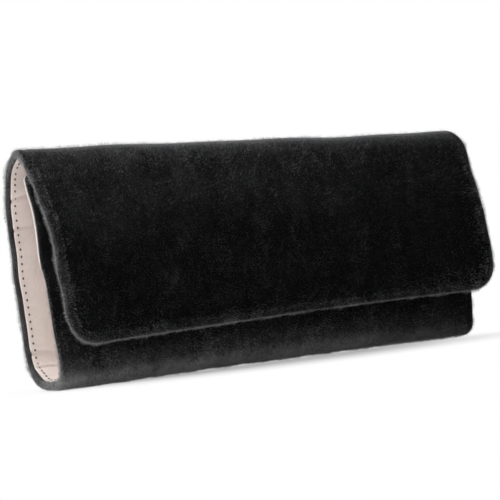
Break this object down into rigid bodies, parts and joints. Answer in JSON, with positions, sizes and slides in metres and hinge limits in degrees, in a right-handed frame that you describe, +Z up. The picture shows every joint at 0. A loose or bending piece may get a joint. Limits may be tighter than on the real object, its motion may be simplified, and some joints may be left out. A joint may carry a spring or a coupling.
{
  "type": "jewelry pouch",
  "caption": "Soft trifold jewelry pouch in velvet with a pale lining: the flap folds over a tucked-in front panel, and inside are a zip pocket, a slip pocket and a ring bar.",
  "frame": {"origin": "under the middle of the closed pouch's box, on the plane that its flat base stands on", "axes": "+X along the folds, to the right seen from the front; -Y out of the front flap; +Z up"},
  "size_m": [0.235, 0.0448, 0.1033],
  "materials": {
    "velvet": "black velvet with a short soft pile",
    "lining": "pale blush microsuede, matte",
    "stiffener": "grey board, hidden",
    "foam": "soft sheet foam, hidden",
    "zip_cloth": "woven zip tape",
    "zip_teeth": "moulded teeth, satin",
    "gold": "polished light gold plating",
    "steel": "nickel-plated magnet, hidden"
  },
  "bodies": {
    "back": {"body_cover": "velvet", "back_board": "stiffener", "base_foam": "foam", "body_lining": "lining", "pocket_back": "lining", "pocket_front": "lining", "zip_trim": "lining", "zip_tape_lower": "zip_cloth", "zip_tape_upper": "zip_cloth", "zip_teeth_lower": "zip_teeth", "zip_teeth_upper": "zip_teeth", "zip_bottom_stop": "gold", "zip_top_stop_lower": "gold", "zip_top_stop_upper": "gold"},
    "slider": {"zip_slider": "gold"},
    "pull": {"zip_pull": "gold"},
    "top_rear": {"top_rear_cover": "velvet", "top_rear_foam": "foam", "top_rear_lining": "lining"},
    "top_front": {"top_front_cover": "velvet", "top_front_foam": "foam", "top_front_lining": "lining"},
    "flap": {"flap_cover": "velvet", "flap_board": "stiffener", "flap_lining": "lining", "flap_magnet_left": "steel", "flap_magnet_right": "steel"},
    "front": {"front_cover": "velvet", "front_board": "stiffener", "front_lining": "lining", "front_magnet_left": "steel", "front_magnet_right": "steel", "slip_pocket": "lining", "ring_anchor": "lining", "snap_stud": "gold"},
    "ring": {"ring_bar": "lining", "snap_cap": "gold"}
  },
  "joints": [
    {"name": "top_fold", "type": "hinge", "parent": "back", "child": "top_rear", "pos_m": [0, 0.0211, 0.08806], "axis": [-1, 0, 0], "range_deg": [0, 100]},
    {"name": "ridge_fold", "type": "hinge", "parent": "top_rear", "child": "top_front", "pos_m": [0, 0.00656, 0.10312], "axis": [-1, 0, 0], "range_deg": [0, 100]},
    {"name": "flap_fold", "type": "hinge", "parent": "top_front", "child": "flap", "pos_m": [0, -0.01157, 0.09266], "axis": [-1, 0, 0], "range_deg": [0, 100]},
    {"name": "front_fold", "type": "hinge", "parent": "back", "child": "front", "pos_m": [0, -0.01543, 0.00814], "axis": [1, 0, 0], "range_deg": [0, 100]},
    {"name": "zip_travel", "type": "slide", "parent": "back", "child": "slider", "axis": [1, 0, 0], "range_m": [-0.161, 0]},
    {"name": "pull_swing", "type": "hinge", "parent": "slider", "child": "pull", "pos_m": [0.0808, 0.01285, 0.06933], "axis": [0, -0.0292, 0.9996], "range_deg": [0, 170]},
    {"name": "ring_bar_lift", "type": "hinge", "parent": "front", "child": "ring", "pos_m": [-0.056, -0.00668, 0.04806], "axis": [0, 0.1736, 0.9848], "range_deg": [0, 5]}
  ],
  "couplings": [
    {"joint": "ridge_fold", "follows": "top_fold", "ratio": 1},
    {"joint": "flap_fold", "follows": "top_fold", "ratio": 1},
    {"joint": "front_fold", "follows": "top_fold", "ratio": 1}
  ]
}
